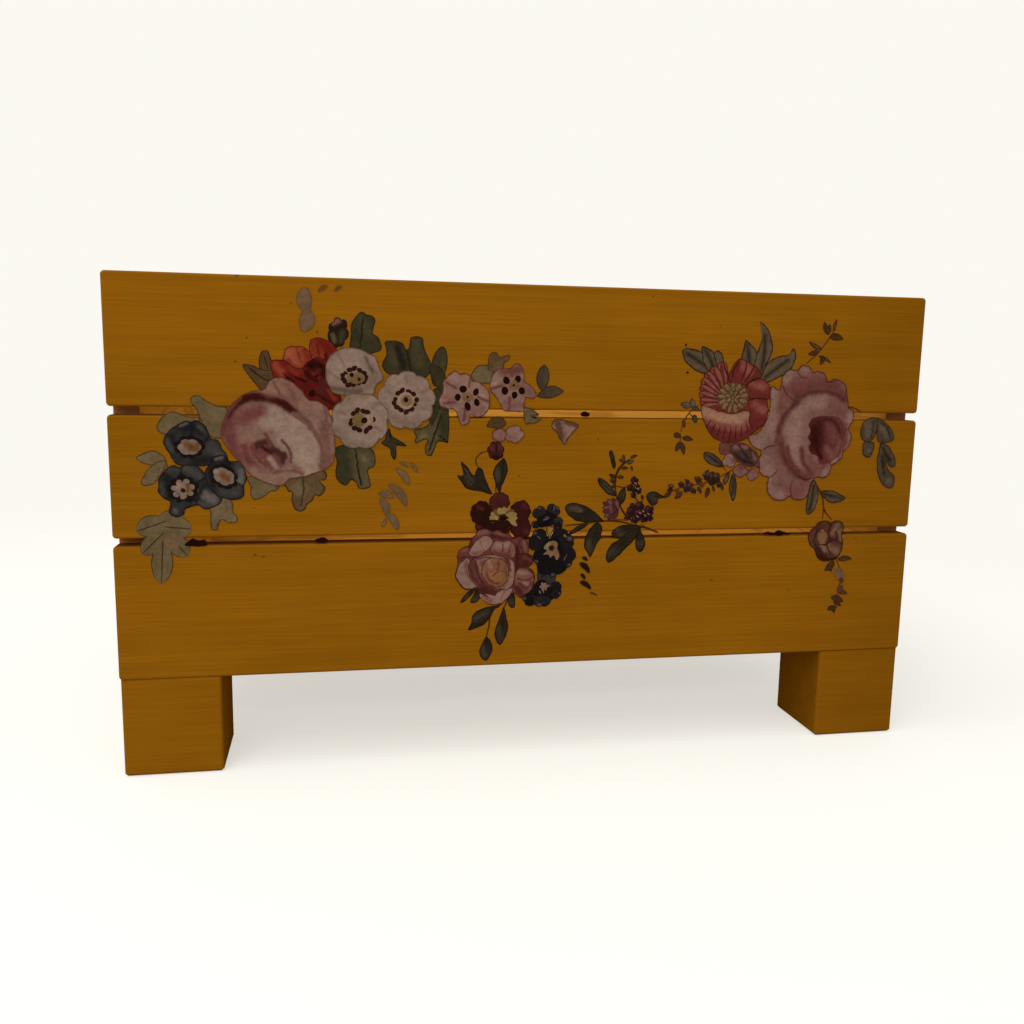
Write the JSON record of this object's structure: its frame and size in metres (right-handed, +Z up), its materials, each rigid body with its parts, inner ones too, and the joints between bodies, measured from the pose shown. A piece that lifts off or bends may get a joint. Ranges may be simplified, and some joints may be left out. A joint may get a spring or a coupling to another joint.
{
  "type": "keepsake box",
  "caption": "Open slatted wooden box on square block feet, for papers and keepsakes, painted yellow with flower cut-outs on the front.",
  "frame": {"origin": "on the surface that the feet stand on, below the middle of the box", "axes": "+X to the right along the front, -Y out of the decorated front, +Z up"},
  "size_m": [0.3, 0.2, 0.1754],
  "materials": {
    "painted_pine": "golden yellow brushed paint, satin, with bare wood inside the box",
    "bare_pine": "planed pine, unfinished",
    "bright_steel": "drawn wire, bright",
    "zinc_plated_steel": "zinc plated, slightly yellow",
    "varnished_paper": "thin printed paper glued on and varnished, satin"
  },
  "bodies": {
    "root": {"front_top_slat": "painted_pine", "front_middle_slat": "painted_pine", "front_bottom_slat": "painted_pine", "back_top_slat": "painted_pine", "back_middle_slat": "painted_pine", "back_bottom_slat": "painted_pine", "left_end_board": "painted_pine", "right_end_board": "painted_pine", "front_left_foot": "painted_pine", "front_right_foot": "painted_pine", "back_left_foot": "painted_pine", "back_right_foot": "painted_pine", "floor_slat_1": "bare_pine", "floor_slat_2": "bare_pine", "floor_slat_3": "bare_pine", "floor_slat_4": "bare_pine", "front_slat_brads": "bright_steel", "back_slat_brads": "bright_steel", "floor_brads": "bright_steel", "foot_screws": "zinc_plated_steel"}
  },
  "joints": []
}
